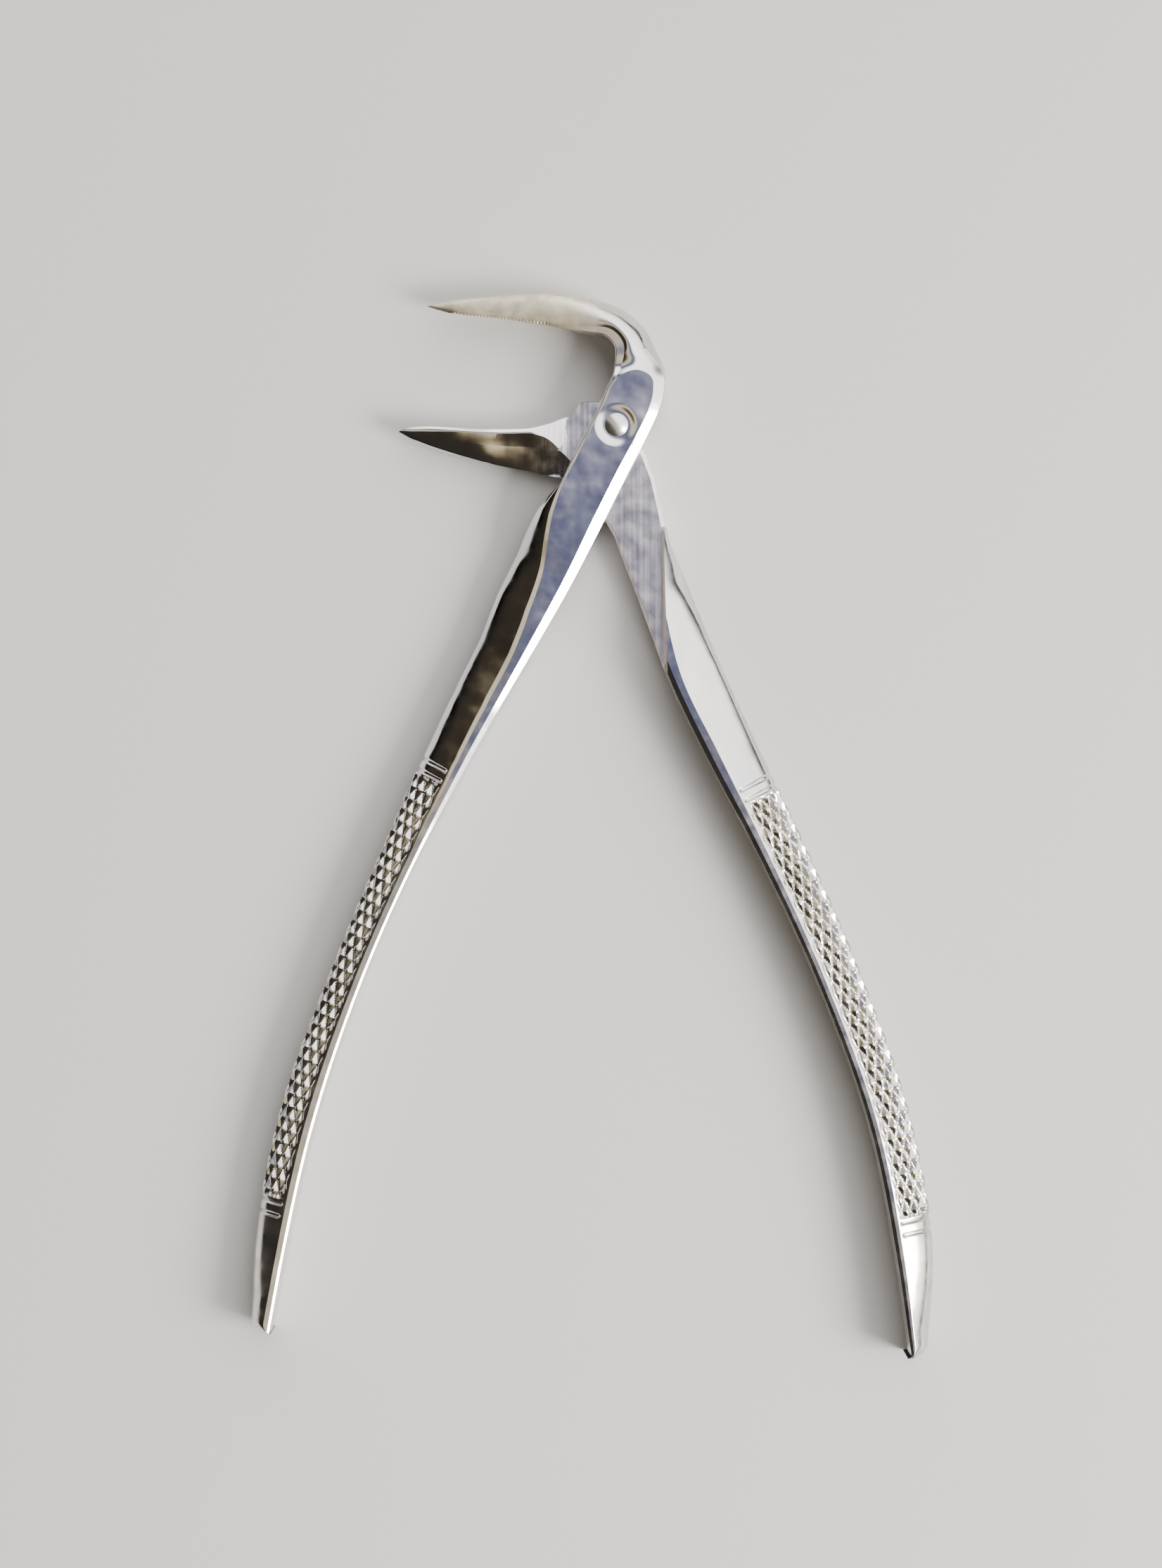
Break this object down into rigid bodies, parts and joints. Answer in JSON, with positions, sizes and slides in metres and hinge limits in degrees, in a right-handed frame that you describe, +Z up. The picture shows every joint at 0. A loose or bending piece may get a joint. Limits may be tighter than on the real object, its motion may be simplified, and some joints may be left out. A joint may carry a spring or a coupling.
{
  "type": "dental extraction forceps",
  "caption": "Hinged hawk-bill extraction forceps with serrated beaks, a riveted lap joint and knurled handles, for lower teeth.",
  "frame": {"origin": "on the rivet's axis, in the plane of the underside that the forceps lies on", "axes": "+Y from the handle ends towards the beaks' bend, +Z up along the rivet's axis; the beaks point to -X"},
  "size_m": [0.1027, 0.1601, 0.0084],
  "materials": {
    "front_steel": "mirror-polished steel",
    "rear_steel": "mirror-polished steel",
    "rivet_steel": "polished steel"
  },
  "bodies": {
    "front": {"front_half": "front_steel", "pivot_rivet": "rivet_steel"},
    "rear": {"rear_half": "rear_steel"}
  },
  "joints": [
    {"name": "lap_joint", "type": "hinge", "parent": "front", "child": "rear", "pos_m": [0, 0, 0], "axis": [0, 0, 1], "range_deg": [-31, 15]}
  ]
}
